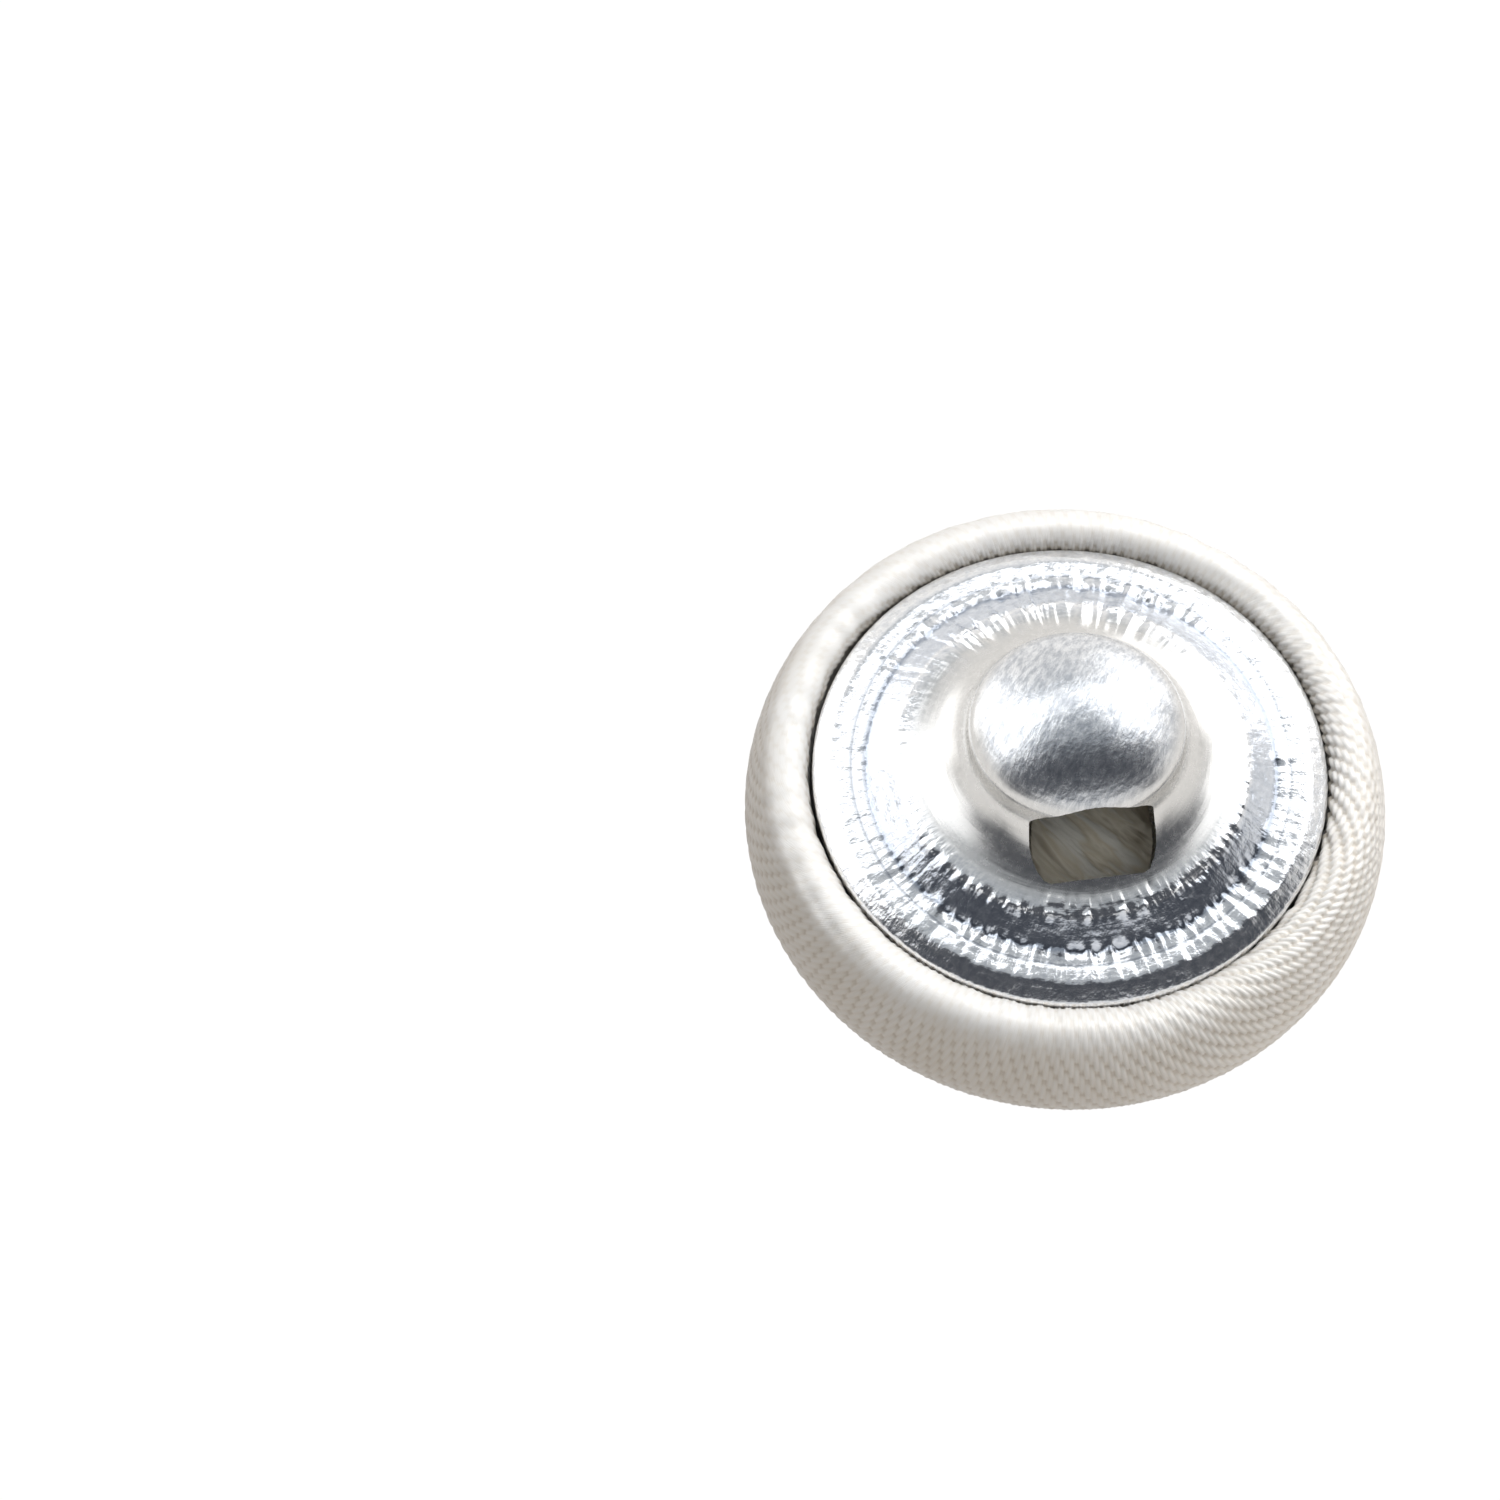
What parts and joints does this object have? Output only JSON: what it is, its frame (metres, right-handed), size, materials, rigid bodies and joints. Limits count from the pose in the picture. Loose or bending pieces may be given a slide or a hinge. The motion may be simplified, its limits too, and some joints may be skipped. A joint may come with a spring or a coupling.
{
  "type": "fabric covered button",
  "caption": "Round domed shank button: satin stretched over a stamped metal shell, with a drawn metal back plate and a hollow shank that has a through window for the thread.",
  "frame": {"origin": "lowest point of the dome, on the button's axis", "axes": "+Z along the button's axis from the dome to the shank, Y along the thread through the window of the shank"},
  "size_m": [0.015, 0.015, 0.0091],
  "materials": {
    "satin": "ivory satin, floats run across the button, soft sheen",
    "shell_metal": "plain stamped sheet, dull",
    "back_metal": "bright drawn sheet with fine scratches and drawing pleats"
  },
  "bodies": {
    "root": {"fabric_cover": "satin", "face_shell": "shell_metal", "back_plate": "back_metal"}
  },
  "joints": []
}
